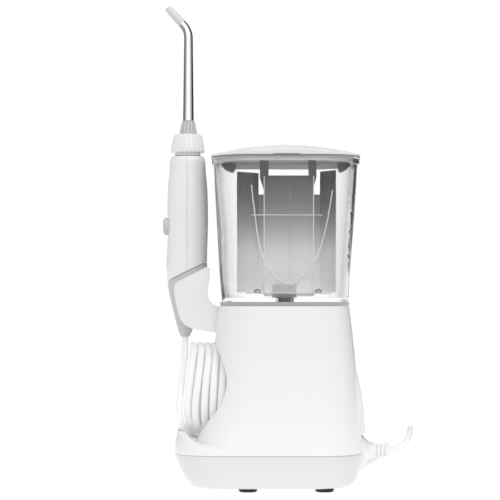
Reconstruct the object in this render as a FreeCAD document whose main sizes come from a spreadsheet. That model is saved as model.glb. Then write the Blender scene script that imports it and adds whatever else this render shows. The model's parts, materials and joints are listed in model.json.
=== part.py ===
import FreeCAD, Part
import math
import os
import Sketcher

# Countertop water flosser: pump base with a hose pocket, clear reservoir with lid,
# hand piece standing in a cradle, hose and mains lead.  Millimetres, +Z up.
# All pieces are drawn about the reservoir's own vertical axis and then moved by
# origin_x, origin_y so that the frame's origin is the centre of the footprint.

V = FreeCAD.Vector
os.makedirs("parts", exist_ok=True)
doc = FreeCAD.newDocument("WaterFlosser")
sheet = doc.addObject("Spreadsheet::Sheet", "Sizes")


class Size:
    """A number of the sheet together with the expression that reads it."""

    def __init__(self, value, text):
        self.value = float(value)
        self.text = text

    def __add__(self, other):
        other = sized(other)
        return Size(self.value + other.value, "(%s + %s)" % (self.text, other.text))

    __radd__ = __add__

    def __sub__(self, other):
        other = sized(other)
        return Size(self.value - other.value, "(%s - %s)" % (self.text, other.text))

    def __rsub__(self, other):
        return sized(other) - self

    def __mul__(self, other):
        other = sized(other)
        return Size(self.value * other.value, "(%s * %s)" % (self.text, other.text))

    __rmul__ = __mul__

    def __truediv__(self, other):
        other = sized(other)
        return Size(self.value / other.value, "(%s / %s)" % (self.text, other.text))

    def __neg__(self):
        return Size(-self.value, "(0 - %s)" % self.text)


def sized(value):
    return value if isinstance(value, Size) else Size(value, repr(round(float(value), 5)))


cells = {}


def size(alias, value):
    """Put a plain number in the next cell under its alias and return it."""
    if alias in cells:
        return cells[alias]
    row = len(cells) + 1
    sheet.set("A%d" % row, alias.replace("_", " "))
    sheet.set("B%d" % row, repr(round(float(value), 4)))
    sheet.setAlias("B%d" % row, alias)
    cells[alias] = Size(value, "Sizes." + alias)
    sheet.recompute()
    return cells[alias]


def bind(obj, prop, value):
    if isinstance(value, Size):
        obj.setExpression(prop, value.text)
    else:
        setattr(obj, prop, value)


places = {}
nodes = []


def place(obj, x, y, z, rotation=None):
    """Put an object at a point whose coordinates may come from the sheet."""
    x, y, z = sized(x), sized(y), sized(z)
    obj.Placement = FreeCAD.Placement(V(x.value, y.value, z.value), rotation or FreeCAD.Rotation())
    for axis, value in (("x", x), ("y", y), ("z", z)):
        obj.setExpression("Placement.Base." + axis, value.text)
    places[obj.Name] = (x, y, z, rotation)
    return obj


X_UP = FreeCAD.Rotation(V(0, 1, 0), 90)      # local Z turned onto +X
Y_UP = FreeCAD.Rotation(V(1, 0, 0), -90)     # local Z turned onto +Y


def turn(axis):
    return {"x": X_UP, "y": Y_UP, "z": None}[axis]


def cylinder(name, radius, height, x, y, z, axis="z"):
    obj = doc.addObject("Part::Cylinder", name)
    bind(obj, "Radius", sized(radius))
    bind(obj, "Height", sized(height))
    return place(obj, x, y, z, turn(axis))


def cone(name, r1, r2, height, x, y, z, axis="z"):
    obj = doc.addObject("Part::Cone", name)
    bind(obj, "Radius1", sized(r1))
    bind(obj, "Radius2", sized(r2))
    bind(obj, "Height", sized(height))
    return place(obj, x, y, z, turn(axis))


def torus(name, r1, r2, x, y, z, axis="z"):
    obj = doc.addObject("Part::Torus", name)
    bind(obj, "Radius1", sized(r1))
    bind(obj, "Radius2", sized(r2))
    return place(obj, x, y, z, turn(axis))


def box(name, x0, x1, y0, y1, z0, z1):
    obj = doc.addObject("Part::Box", name)
    bind(obj, "Length", sized(x1) - sized(x0))
    bind(obj, "Width", sized(y1) - sized(y0))
    bind(obj, "Height", sized(z1) - sized(z0))
    return place(obj, x0, y0, z0)


def fuse(name, *shapes):
    obj = doc.addObject("Part::MultiFuse", name)
    obj.Shapes = list(shapes)
    obj.Refine = False
    return obj


def cut(name, base, *tools):
    tool = tools[0] if len(tools) == 1 else fuse(name + "_tools", *tools)
    obj = doc.addObject("Part::Cut", name)
    obj.Base = base
    obj.Tool = tool
    obj.Refine = False
    return obj


def common(name, a, b):
    obj = doc.addObject("Part::Common", name)
    obj.Base = a
    obj.Tool = b
    obj.Refine = False
    return obj


def node(obj, label):
    """Name a finished piece and move it into the common frame."""
    x, y, z, rotation = places.get(obj.Name, (sized(0), sized(0), sized(0), None))
    place(obj, x + origin_x, y + origin_y, z, rotation)
    obj.Label = label
    nodes.append(obj)
    return obj


def plane(body, role):
    for feature in body.Origin.OriginFeatures:
        if feature.Role == role:
            return feature
    raise ValueError(role)


def sketch(body, name, role="XY_Plane", height=None):
    sk = body.newObject("Sketcher::SketchObject", name)
    sk.AttachmentSupport = [(plane(body, role), "")]
    sk.MapMode = "FlatFace"
    if height is not None:
        height = sized(height)
        sk.AttachmentOffset = FreeCAD.Placement(V(0, 0, height.value), FreeCAD.Rotation())
        sk.setExpression("AttachmentOffset.Base.z", height.text)
    return sk


def hold(sk, kind, geo, pos, value):
    """Dimension one point of a sketch from its origin."""
    value = sized(value)
    at = sk.addConstraint(Sketcher.Constraint(kind, -1, 1, geo, pos, value.value))
    if not value.text.replace(".", "").replace("-", "").isdigit():
        sk.setExpression("Constraints[%d]" % at, value.text)


def outline(sk, points):
    """Closed outline of straight edges through dimensioned corners."""
    pts = [(sized(a), sized(b)) for a, b in points]
    n = len(pts)
    for i in range(n):
        a, b = pts[i], pts[(i + 1) % n]
        sk.addGeometry(Part.LineSegment(V(a[0].value, a[1].value, 0), V(b[0].value, b[1].value, 0)), False)
    for i in range(n):
        sk.addConstraint(Sketcher.Constraint("Coincident", i, 2, (i + 1) % n, 1))
    for i, (a, b) in enumerate(pts):
        hold(sk, "DistanceX", i, 1, a)
        hold(sk, "DistanceY", i, 1, b)


def rounded(sk, x0, x1, hy, r):
    """Rounded rectangle from x0 to x1 and from -hy to hy."""
    x0, x1, hy, r = [sized(q) for q in (x0, x1, hy, r)]
    a, b, c, q = x0.value, x1.value, hy.value, r.value
    line = lambda p0, p1: sk.addGeometry(Part.LineSegment(V(*p0, 0), V(*p1, 0)), False)
    arc = lambda cx, cy, s: sk.addGeometry(
        Part.ArcOfCircle(Part.Circle(V(cx, cy, 0), V(0, 0, 1), q), s, s + math.pi / 2), False)
    line((a + q, -c), (b - q, -c))
    arc(b - q, -c + q, -math.pi / 2)
    line((b, -c + q), (b, c - q))
    arc(b - q, c - q, 0)
    line((b - q, c), (a + q, c))
    arc(a + q, c - q, math.pi / 2)
    line((a, c - q), (a, -c + q))
    arc(a + q, -c + q, math.pi)
    for i in range(8):
        sk.addConstraint(Sketcher.Constraint("Tangent", i, 2, (i + 1) % 8, 1))
    for i, kind in ((0, "Horizontal"), (2, "Vertical"), (4, "Horizontal"), (6, "Vertical")):
        sk.addConstraint(Sketcher.Constraint(kind, i))
    for i in (3, 5, 7):
        sk.addConstraint(Sketcher.Constraint("Equal", 1, i))
    at = sk.addConstraint(Sketcher.Constraint("Radius", 1, q))
    sk.setExpression("Constraints[%d]" % at, r.text)
    hold(sk, "DistanceY", 0, 1, -hy)
    hold(sk, "DistanceX", 2, 1, x1)
    hold(sk, "DistanceY", 4, 1, hy)
    hold(sk, "DistanceX", 6, 1, x0)


def loft(body_name, rows, stem, ruled=False):
    """Body lofted through rounded rectangles, rows of (z, x0, x1, hy, r)."""
    body = doc.addObject("PartDesign::Body", body_name)
    sections = []
    for i, row in enumerate(rows):
        q = [size("%s_%s_%d" % (stem, word, i + 1), value) if not isinstance(value, Size) else value
             for word, value in zip(("level", "left", "right", "deep", "corner"), row)]
        sk = sketch(body, "%s_s%d" % (body_name, i + 1), "XY_Plane", q[0])
        rounded(sk, *q[1:])
        sections.append(sk)
    solid = body.newObject("PartDesign::AdditiveLoft", body_name + "_loft")
    solid.Profile = sections[0]
    solid.Sections = sections[1:]
    solid.Ruled = ruled
    return body


def grow(rows, d):
    """The same rows moved in or out by d."""
    return [(z, a - d, b + d, h + d, max(r + d, 1.0)) for z, a, b, h, r in rows]


def round_loft(body_name, rows, stem, d=0.0):
    """Body lofted through circles, rows of (z, centre x, radius)."""
    body = doc.addObject("PartDesign::Body", body_name)
    sections = []
    for i, (z, cx, r) in enumerate(rows):
        z, cx, r = [size("%s_%s_%d" % (stem, w, i + 1), q) for w, q in
                    (("level", z), ("centre", cx), ("radius", r))]
        sk = sketch(body, "%s_s%d" % (body_name, i + 1), "XY_Plane", z)
        sk.addGeometry(Part.Circle(V(cx.value, 0, 0), V(0, 0, 1), r.value + d), False)
        hold(sk, "DistanceX", 0, 3, cx)
        sk.addConstraint(Sketcher.Constraint("PointOnObject", 0, 3, -1))
        at = sk.addConstraint(Sketcher.Constraint("Radius", 0, r.value + d))
        sk.setExpression("Constraints[%d]" % at, (r + d).text)
        sections.append(sk)
    solid = body.newObject("PartDesign::AdditiveLoft", body_name + "_loft")
    solid.Profile = sections[0]
    solid.Sections = sections[1:]
    return body


def spin(name, points, x=0, y=0, z=0, axis="z"):
    """Body turned about its own Z axis from an outline of (radius, height)."""
    body = doc.addObject("PartDesign::Body", name)
    sk = sketch(body, name + "_outline", "XZ_Plane")
    outline(sk, points)
    solid = body.newObject("PartDesign::Revolution", name + "_turned")
    solid.Profile = sk
    solid.ReferenceAxis = (sk, ["V_Axis"])
    solid.Angle = 360.0
    return place(body, x, y, z, turn(axis))


def slab(name, points, y0, y1):
    """Body padded along Y from y0 to y1 from an outline of (x, z)."""
    body = doc.addObject("PartDesign::Body", name)
    sk = sketch(body, name + "_outline", "XZ_Plane")
    outline(sk, points)
    pad = body.newObject("PartDesign::Pad", name + "_pad")
    pad.Profile = sk
    bind(pad, "Length", sized(y1) - sized(y0))
    pad.Reversed = True
    place(body, 0, y0, 0)
    return body


def edges_along(shape, want):
    return ["Edge%d" % (i + 1) for i, e in enumerate(shape.Edges) if want(e)]


def fillet(name, base, radius, want):
    doc.recompute([base])
    obj = doc.addObject("Part::Fillet", name)
    obj.Base = base
    obj.Edges = [(i + 1, radius, radius) for i, e in enumerate(base.Shape.Edges) if want(e)]
    return obj


def route(name, points, radius, factor=0.45):
    """Tube along straight runs joined by tangent arcs."""
    pts = [V(*p) for p in points]
    edges, start, radii, length = [], pts[0], [], 0.0
    for i in range(1, len(pts) - 1):
        a, b = (pts[i - 1] - pts[i]), (pts[i + 1] - pts[i])
        short = min(a.Length, b.Length)
        a.normalize()
        b.normalize()
        half = (math.pi - a.getAngle(b)) / 2
        bend = factor * short / math.tan(half)
        radii.append(round(bend, 1))
        reach = factor * short
        p0, p1 = pts[i] + a * reach, pts[i] + b * reach
        mid = a + b
        mid.normalize()
        gap = bend / math.cos(half) - bend
        edges.append(Part.LineSegment(start, p0).toShape())
        edges.append(Part.Arc(p0, pts[i] + mid * gap, p1).toShape())
        start = p1
    edges.append(Part.LineSegment(start, pts[-1]).toShape())
    wire = Part.Wire(edges)
    length = wire.Length
    ring = Part.Wire([Part.Circle(pts[0], pts[1] - pts[0], radius).toShape()])
    tube = wire.makePipeShell([ring], True, True, 2)
    ratio = tube.Volume / (math.pi * radius * radius * length)
    print("%s: length %.1f, volume ratio %.4f, radii %s" % (name, length, ratio, radii))
    if abs(ratio - 1) > 0.02:
        raise RuntimeError(name + " does not fill its section")
    obj = doc.addObject("Part::Feature", name)
    obj.Shape = tube
    return obj


# --------------------------------------------------------------- driving sizes
origin_x = size("origin_x", 16.35)
origin_y = size("origin_y", -2.8)
wall = size("wall", 2.5)
seam_z = size("seam_level", 28.5)           # parting level of housing and bottom cover
deck_z = size("deck_level", 139.6)          # top of the pump housing
foot_z = size("foot_height", 3.0)
handle_x = size("handle_axis", -75.4)
hose_r = size("hose_radius", 2.65)
cord_r = size("cord_radius", 2.35)
pocket_z = size("pocket_axis_level", 76.0)
pocket_r = size("pocket_radius", 40.0)
pocket_x = size("pocket_floor", -44.0)
coil_in = size("coil_inner_radius", 31.6)
coil_out = size("coil_outer_radius", 37.3)
coil_x0 = size("coil_left", -76.4)
coil_x1 = size("coil_right", -44.9)
dial_z = size("dial_level", 95.0)
button_z = size("button_level", 58.0)
button_gap = size("button_offset", 14.0)
gear_x = size("gear_axis", -6.0)
valve_y = size("valve_offset", 30.0)
pinion_x = size("pinion_axis", 24.0)
crank = size("crank_throw", 6.0)
rod_long = size("rod_length", 22.0)
pump_z = size("pump_level", 103.3)

# --------------------------------------------------------------- pump housing
# Main column: flares towards the table, more to the left where it meets the tray.
column = [
    (28.5, -70.0, 57.6, 54.0, 31.0),
    (42.0, -66.0, 57.1, 53.4, 31.0),
    (56.0, -59.0, 56.3, 52.7, 30.5),
    (76.0, -56.0, 55.0, 51.8, 30.0),
    (98.0, -54.8, 53.3, 50.6, 30.0),
    (118.0, -53.4, 51.2, 49.6, 30.0),
    (139.6, -50.6, 48.8, 48.4, 30.0),
]
housing_outer = loft("housing_outer", column, "column")
inner = grow(column, -2.5)
inner[0] = (28.0,) + inner[0][1:]
inner[-1] = (136.8,) + inner[-1][1:]
housing_inner = loft("housing_inner", inner, "hollow")
# Tray that catches the hose: a shallow foot running out to the left with a lip.
tray_rows = [
    (28.5, -84.6, 10.0, 53.6, 33.0),
    (33.0, -84.6, 10.0, 53.6, 33.0),
    (41.0, -83.2, 10.0, 52.4, 32.0),
    (49.5, -81.4, 10.0, 50.6, 31.0),
]
tray_block = loft("tray_block", tray_rows, "tray")
arch = cylinder("lip_arch", size("lip_arch_radius", 102.0), 140, -90, 0, -53.2, "x")
tray_arched = common("tray_arched", tray_block, arch)
floor_z = size("tray_floor", 36.6)
tray_open = box("tray_open", -79.6, 12, -60, 60, floor_z, 60)
tray_room = fillet("tray_room", tray_open, size("tray_corner", 20.0).value, lambda e: abs(e.CenterOfMass.x + 79.6) < 0.01
                   and abs(e.CenterOfMass.z - 36.6) < 0.01)
tray_top = cut("tray_top", tray_arched, tray_room)
tray_hollow = loft("tray_hollow", [(28.0, -82.0, 8.0, 51.0, 30.5), (33.0, -82.0, 8.0, 51.0, 30.5)], "under_tray")
pocket_wall = cylinder("pocket_wall", pocket_r + wall, 60, -101.5, 0, pocket_z, "x")
bind(pocket_wall, "Height", (pocket_x + wall) + 101.5)
# Shallow relief at the front of the pocket, where fingers reach the stored turns.
relief_r = size("relief_radius", 36.0)
relief_wall = cylinder("relief_wall", relief_r + wall, 60, -101.5, -9.0, 80.0, "x")
bind(relief_wall, "Height", (pocket_x + wall) + 101.5)
relief_cut = cylinder("relief_cut", relief_r, 60, -79.6, -9.0, 80.0, "x")
bind(relief_cut, "Height", pocket_x + 79.6)
pocket_skin = common("pocket_skin", housing_outer, fuse("pocket_walls", pocket_wall, relief_wall))
pocket_cut = cylinder("pocket_cut", pocket_r, 60, -79.6, 0, pocket_z, "x")
bind(pocket_cut, "Height", pocket_x + 79.6)
housing_shell = cut("housing_shell", housing_outer, housing_inner)
tray_shell = cut("tray_shell", tray_top, tray_hollow, housing_inner)
# Spine down the right side above the strain relief.
spine = slab("spine", [(50.0, 100.0), (53.2, 100.0), (55.9, 85.5), (58.3, 73.0), (60.1, 60.5), (61.3, 48.0),
                       (61.6, 43.6), (61.2, 41.6), (50.0, 41.6)], -12.0, 12.0)
spine_round = fillet("spine_round", spine, 3.0, lambda e: abs(abs(e.CenterOfMass.y) - 12.0) < 0.01
                     and e.CenterOfMass.x > 53.5 and e.CenterOfMass.z > 43.7)
spine_fit = cut("spine_fit", spine_round, common("housing_core", housing_outer, box("core_box", 40, 60, -30, 30, 30, 120)))
housing_sum = fuse("housing_sum", housing_shell, pocket_skin, tray_shell, spine_fit)
seat_hole = cylinder("seat_hole", size("seat_hole_radius", 9.3), 8, 0, valve_y, 134)
hose_hole = place(cylinder("hose_hole", 4.2, 20, 0, 0, 0), -47.6, 4.4, 120.4,
                  FreeCAD.Rotation(V(0, 0, 1), V(0, 0.7071, -0.7071)))
dial_hole = cylinder("dial_hole", size("dial_hole_radius", 20.6), 30, 0, 40, dial_z, "y")
button_hole_a = cylinder("button_hole_a", size("button_hole_radius", 6.5), 30, -button_gap, 40, button_z, "y")
button_hole_b = cylinder("button_hole_b", cells["button_hole_radius"], 30, button_gap, 40, button_z, "y")
lead_hole = cylinder("lead_hole", 5.2, 30, 44, 0, seam_z - 0.4, "x")
# Bosses for the cover screws, standing between the deck and the bottom cover.
posts = [cylinder("post_%d" % (i + 1), size("post_radius", 4.0), 110.0, px, py, 28.5)
         for i, (px, py) in enumerate([(-38, -40), (-38, 40), (42, -38), (42, 38)])]
posts_in = common("posts_in", fuse("posts", *posts), housing_outer)
housing_all = fuse("housing_all", housing_sum, posts_in)
screw_holes = [cylinder("pilot_%d" % (i + 1), size("pilot_radius", 1.5), 16.0, px, py, 28.0)
               for i, (px, py) in enumerate([(-38, -40), (-38, 40), (42, -38), (42, 38)])]
hose_room = cylinder("hose_room", size("hose_room_radius", 41.2), 15.4, -81.4, 0, 76.4, "x")
base_housing = cut("base_housing", housing_all, pocket_cut, relief_cut, hose_room, seat_hole, hose_hole, dial_hole, button_hole_a,
                   button_hole_b, lead_hole, *screw_holes)
node(base_housing, "base_housing")

# --------------------------------------------------------------- bottom cover
pan = [
    (3.0, -69.5, 46.0, 43.0, 26.0),
    (5.0, -72.5, 50.8, 46.5, 28.0),
    (9.5, -76.0, 53.8, 49.3, 30.0),
    (18.0, -80.4, 56.4, 52.0, 32.0),
    (28.4, -84.2, 57.4, 53.7, 33.0),
]
pan_outer = loft("pan_outer", pan, "pan")
pan_in = grow(pan[1:], -2.5)
pan_in = [(5.5,) + pan_in[0][1:]] + pan_in[1:-1] + [(29.0,) + pan_in[-1][1:]]
pan_inner = loft("pan_inner", pan_in, "pan_hollow")
pan_shell = cut("pan_shell", pan_outer, pan_inner)
pads = [(-28.6, -32.0), (-28.6, 32.0), (29.0, -32.0), (29.0, 32.0)]
pad_seats = [cylinder("pad_seat_%d" % (i + 1), size("pad_seat_radius", 7.6), 1.6, px, py, 2.4)
             for i, (px, py) in enumerate(pads)]
screw_at = [(-38, -40), (-38, 40), (42, -38), (42, 38)]
sleeves = common("sleeves", fuse("sleeve_set", *[cylinder("sleeve_%d" % (i + 1), 5.0, 25.3, px, py, 3.1)
                 for i, (px, py) in enumerate(screw_at)]), pan_outer)
pan_full = fuse("pan_full", pan_shell, sleeves)
clear_holes = [cylinder("clear_%d" % (i + 1), 1.7, 30, px, py, 0) for i, (px, py) in enumerate(screw_at)]
head_holes = [cylinder("head_%d" % (i + 1), 3.3, 22, px, py, 0) for i, (px, py) in enumerate(screw_at)]
lead_hole_low = cylinder("lead_hole_low", 5.2, 30, 44, 0, seam_z - 0.4, "x")
motor_ring = cut("motor_ring", cylinder("ring_out", 19.4, 9.0, pinion_x, 0, 5.2),
                 cylinder("ring_in", 18.3, 9.0, pinion_x, 0, 5.7))
frame_legs = [box("leg_%d" % (i + 1), px - 4, px + 4, py - 4, py + 4, 5.5, size("leg_top", 79.5))
              for i, (px, py) in enumerate([(-26, -17), (-26, 17), (42.5, -17), (42.5, 17)])]
pan_with = fuse("pan_with", pan_full, motor_ring)
bottom_cover = cut("bottom_cover", pan_with, lead_hole_low, *(pad_seats + clear_holes + head_holes))
node(bottom_cover, "bottom_cover")

feet = fuse("feet", *[spin("foot_%d" % (i + 1), [(0, 0), (6.0, 0), (7.0, 1.0), (7.2, 2.6), (7.2, 4.0), (0, 4.0)],
                           px, py, 0) for i, (px, py) in enumerate(pads)])
node(feet, "rubber_feet")
screws = fuse("screws", *[fuse("screw_%d" % (i + 1),
                               cylinder("shank_%d" % (i + 1), size("screw_radius", 1.45), 18.0, px, py, 22.0),
                               cylinder("cap_%d" % (i + 1), 2.9, 2.4, px, py, 19.6))
                          for i, (px, py) in enumerate(screw_at)])
node(screws, "cover_screws")

# --------------------------------------------------------------- cradle and hand piece
body_rows = [
    (116.0, -77.3, 3.4), (120.0, -77.2, 5.2), (128.3, -76.6, 8.1), (136.0, -76.2, 10.4), (143.6, -75.9, 12.6),
    (152.0, -75.7, 14.4), (160.0, -75.8, 15.4), (172.0, -76.1, 15.8), (184.0, -75.7, 15.6), (197.0, -75.4, 15.7),
    (211.6, -75.4, 15.85), (223.0, -75.5, 15.7), (235.0, -75.5, 15.0), (246.0, -75.5, 14.0), (252.5, -75.5, 13.5),
    (255.2, -75.5, 12.4)]
grip_outer = round_loft("grip_outer", body_rows, "grip")
grip_inner = round_loft("grip_inner", body_rows, "grip", -2.2)
clearance = round_loft("clearance_form", body_rows[:9], "grip", 0.45)
cradle_outline = [
    (-50.0, 117.5), (-54.2, 119.4), (-71.1, 122.1), (-77.1, 125.2), (-80.6, 129.7), (-82.6, 136.0), (-84.7, 145.7),
    (-85.5, 152.0), (-85.2, 155.6), (-82.6, 158.3), (-76.4, 161.4), (-67.9, 165.6), (-60.9, 169.3), (-58.7, 169.2),
    (-58.6, 163.0), (-60.2, 152.5), (-60.4, 148.4), (-59.6, 145.0), (-57.2, 141.8), (-52.9, 139.4), (-50.0, 138.9)]
cradle_blank = slab("cradle_blank", cradle_outline, -19.0, 19.0)
cradle_form = common("cradle_form", cradle_blank, loft("cradle_plan", [
    (110.0, -92.0, -40.0, 15.0, 14.0), (130.0, -92.0, -40.0, 17.0, 16.0), (150.0, -92.0, -40.0, 18.8, 18.0),
    (175.0, -92.0, -40.0, 19.0, 18.0)], "cradle_plan"))
handle_cradle = cut("handle_cradle", cradle_form, clearance, housing_outer)
node(handle_cradle, "handle_cradle")

# The gray boot and the white shells part on a slanted plane.
upper_space = slab("upper_space", [(-100.0, 154.3), (-50.0, 178.9), (-50.0, 300.0), (-100.0, 300.0)], -30, 30)
lower_space = slab("lower_space", [(-100.0, 153.8), (-100.0, 90.0), (-50.0, 90.0), (-50.0, 178.4)], -30, 30)
white_part = common("white_part", grip_outer, upper_space)
boot_part = common("boot_part", grip_outer, lower_space)
core_in = cut("core_in", grip_inner, box("core_floor", -100, -50, -30, 30, 100, 140))
thumb = cylinder("thumb_recess", size("thumb_radius", 26.0), 60, -115.2, -30, 201.0, "y")
button_bore = cylinder("button_bore", size("pause_bore", 7.0), 20, -96, 0, 201.2, "x")
front_space = box("front_space", -100, handle_x - 0.1, -30, 30, 100, 300)
rear_space = box("rear_space", handle_x + 0.1, -50, -30, 30, 100, 300)
neck_bore = cylinder("neck_bore", 9.1, 30, handle_x, 0, 240)
# The recess would break through the shell, so its floor is carried by a saddle inside.
saddle = common("saddle", grip_outer, cylinder("saddle_form", 28.0, 60, -115.2, -30, 201.0, "y"))
front_hollow = cut("front_hollow", common("front_solid", white_part, front_space), core_in)
front_full = fuse("front_full", front_hollow, common("saddle_front", saddle, front_space))
node(cut("front_shell_cut", front_full, thumb, button_bore, neck_bore), "handle_front_shell")
node(cut("rear_shell_cut", common("rear_solid", white_part, rear_space), core_in, neck_bore), "handle_rear_shell")
boot_bore = cylinder("boot_bore", 2.75, 20, -77.3, 0, 112)
node(cut("boot_cut", boot_part, core_in, cylinder("fitting_bore", 2.05, 40, -77.3, 0, 120), boot_bore), "handle_boot")
fitting = cut("fitting", fuse("fitting_sum", cylinder("barb", 2.0, 20.7, -77.3, 0, 121.5),
                              cylinder("barb_cap", 4.6, 4.0, -77.3, 0, 142.2)),
              cylinder("barb_bore", 1.1, 30, -77.3, 0, 120))
node(fitting, "hose_fitting")
socket = cut("socket", fuse("socket_sum", cylinder("socket_tube", 9.0, 7.8, handle_x, 0, 248.0),
                            cylinder("socket_low", 6.6, 20.0, handle_x, 0, 228.2)),
             cylinder("socket_bore", size("socket_bore_radius", 4.05), 40, handle_x, 0, 230.2),
             cylinder("socket_port", 1.5, 10, handle_x, 0, 226))
node(socket, "tip_socket")
valve_tube = cut("valve_tube", fuse("valve_sum", cylinder("valve_body", 5.0, 14.0, handle_x, 0, 194.2),
                                    cylinder("valve_top", 2.6, 20.0, handle_x, 0, 208.2),
                                    cylinder("valve_low", 2.6, 28.0, handle_x, 0, 166.4),
                                    cylinder("valve_end", 4.2, 20.2, handle_x, 0, 146.2)),
                 cylinder("valve_bore", 1.3, 100, handle_x, 0, 146.0))
node(valve_tube, "pause_valve")
pause_button = common("pause_button_form",
                      cylinder("pause_round", size("pause_button_radius", 6.9), 12, -95.2, 0, 201.2, "x"),
                      box("pause_span", -94.3, -86.6, -8, 8, 192, 210))
node(fillet("pause_button", pause_button, 2.4, lambda e: e.CenterOfMass.x < -93.5), "pause_button")

def coil_spring(name, radius, wire_radius, pitch, height, x, y, z, axis):
    helix = Part.makeHelix(pitch, height, radius)
    ring = Part.Wire([Part.Circle(V(radius, 0, 0), V(0, 1, 0), wire_radius).toShape()])
    obj = doc.addObject("Part::Feature", name)
    obj.Shape = Part.Wire(helix).makePipeShell([ring], True, True)
    return place(obj, x, y, z, turn(axis))

node(coil_spring("pause_spring_wire", 3.0, 0.35, 1.5, 5.2, -86.2, 0, 201.2, "x"), "pause_spring")

# Tip and its turning collar.
collar = spin("tip_collar_core", [(4.1, 258.6), (9.9, 256.0), (9.9, 258.0), (12.3, 258.2), (13.1, 259.4), (12.9, 262.0), (11.3, 270.2),
                         (10.9, 271.6), (9.9, 272.4), (4.1, 272.4)], handle_x, 0, 0)
bend_set = doc.addObject("Part::Feature", "flute_ring")
flute_count = int(size("flute_count", 24).value)
ring_of = []
for i in range(flute_count):
    one = Part.makeCone(0.95, 0.75, 14.4, V(0, 0, 0), V(0, 0, 1))
    one.rotate(V(0, 0, 0), V(0, 1, 0), -8.6)
    one.translate(V(13.35, 0, 258.4))
    one.rotate(V(0, 0, 0), V(0, 0, 1), 360.0 * i / flute_count + 7.5)
    ring_of.append(one)
bend_set.Shape = Part.Compound(ring_of)
place(bend_set, handle_x, 0, 0)
node(cut("tip_collar_cut", collar, bend_set), "tip_collar")
node(spin("neck_ring_form", [(9.2, 255.3), (10.2, 255.3), (10.2, 255.9), (9.2, 255.9)], handle_x, 0, 0), "neck_ring")
ribs = [(3.3, 272.6), (6.55, 272.6)]
for i in range(5):
    z0 = 273.0 + i * 2.0
    r0 = 6.75 - i * 0.45
    ribs += [(r0, z0), (r0, z0 + 1.1), (r0 - 0.55, z0 + 1.3), (r0 - 0.6, z0 + 1.8)]
ribs += [(4.75, 283.0), (4.5, 283.4), (3.3, 283.4)]
node(spin("tip_cone_form", ribs, handle_x + 0.4, 0, 0), "tip_cone")
# Chrome tube: tapers from 8.4 mm to 6.8 mm, then bends over at its upper end.
tip_x = handle_x.value + 0.4
straight = doc.addObject("Part::Cone", "tip_straight")
bind(straight, "Radius1", size("tip_radius_low", 4.2))
bind(straight, "Radius2", size("tip_radius_top", 3.4))
bind(straight, "Height", size("tip_straight_height", 64.5))
place(straight, tip_x, 0, 283.5)
stem = cylinder("tip_stem", 3.2, 51.6, tip_x, 0, 232.0)
bend_from = V(tip_x, 0, 348.0)
bend_r = size("tip_bend_radius", 15.0).value
bend_angle = math.radians(42.5)
bend_mid = bend_from + V(-bend_r * (1 - math.cos(bend_angle / 2)), 0, bend_r * math.sin(bend_angle / 2))
arc_end = bend_from + V(-bend_r * (1 - math.cos(bend_angle)), 0, bend_r * math.sin(bend_angle))
bend_arc = Part.Arc(bend_from, bend_mid, arc_end).toShape()
end_dir = V(-math.sin(bend_angle), 0, math.cos(bend_angle))
bend_end = arc_end + end_dir * 1.6
bend_run = Part.LineSegment(arc_end, bend_end).toShape()
ring_low = Part.Wire([Part.Circle(bend_from, V(0, 0, 1), 3.4).toShape()])
ring_high = Part.Wire([Part.Circle(bend_end, end_dir, 3.15).toShape()])
bend_tube = doc.addObject("Part::Feature", "tip_bend")
bend_tube.Shape = Part.Wire([bend_arc, bend_run]).makePipeShell([ring_low, ring_high], True, False)
tip_bore = cylinder("tip_bore", size("tip_bore_radius", 1.2), 60.0, tip_x, 0, 231.0)
node(cut("tip_tube_cut", fuse("tip_tube_sum", straight, stem, bend_tube), tip_bore), "tip_tube")
nozzle = doc.addObject("Part::Feature", "nozzle_form")
n0 = bend_end + end_dir * 0.02
n1 = n0 + end_dir * 10.0
n2 = n0 + end_dir * 16.9
nozzle.Shape = Part.makeLoft([Part.Wire([Part.Circle(p, end_dir, r).toShape()]) for p, r in
                              ((n0, 3.35), (n0 + end_dir * 6, 3.35), (n1, 3.2), (n0 + end_dir * 13, 2.9), (n2, 2.5))], True)
nozzle_tip = doc.addObject("Part::Fillet", "nozzle_round")
nozzle_tip.Base = nozzle
nozzle_tip.Edges = [(i + 1, 1.2, 1.2) for i, e in enumerate(nozzle.Shape.Edges)
                    if (e.CenterOfMass - n2).Length < 0.5]
node(cut("nozzle_cut", nozzle_tip, place(cylinder("nozzle_bore", 0.6, 30, 0, 0, 0), n1.x, n1.y, n1.z,
         FreeCAD.Rotation(V(0, 0, 1), end_dir))), "tip_nozzle")

# --------------------------------------------------------------- reservoir
tank_rows = [
    (142.8, -48.4, 48.0, 46.8, 28.0),
    (150.0, -49.2, 48.4, 47.0, 28.5),
    (180.0, -51.3, 50.4, 47.4, 29.0),
    (215.0, -53.3, 53.2, 47.8, 30.0),
    (251.0, -54.9, 55.2, 48.2, 30.5),
]
tank_outer = loft("tank_outer", tank_rows, "tank")
tank_in = [(145.8,) + grow(tank_rows, -2.4)[0][1:]] + grow(tank_rows[1:-1], -2.4) + [(253.0,) + grow(tank_rows, -2.4)[-1][1:]]
tank_inner = loft("tank_inner", tank_in, "tank_hollow")
lip_block = loft("lip_block", [(247.6, -56.2, 56.6, 49.4, 31.0), (252.2, -56.4, 56.8, 49.6, 31.0)], "tank_lip")
tank_sum = fuse("tank_sum", tank_outer, lip_block)
tank_bore = cylinder("tank_bore", size("tank_bore_radius", 7.1), 8, 0, valve_y, 141)
node(cut("tank_cut", tank_sum, tank_inner, tank_bore), "tank")
ring_rows = [(139.8, -49.6, 48.6, 47.8, 29.0), (142.7, -49.8, 48.8, 48.0, 29.0)]
ring_block = loft("ring_block", ring_rows, "foot_ring")
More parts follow.
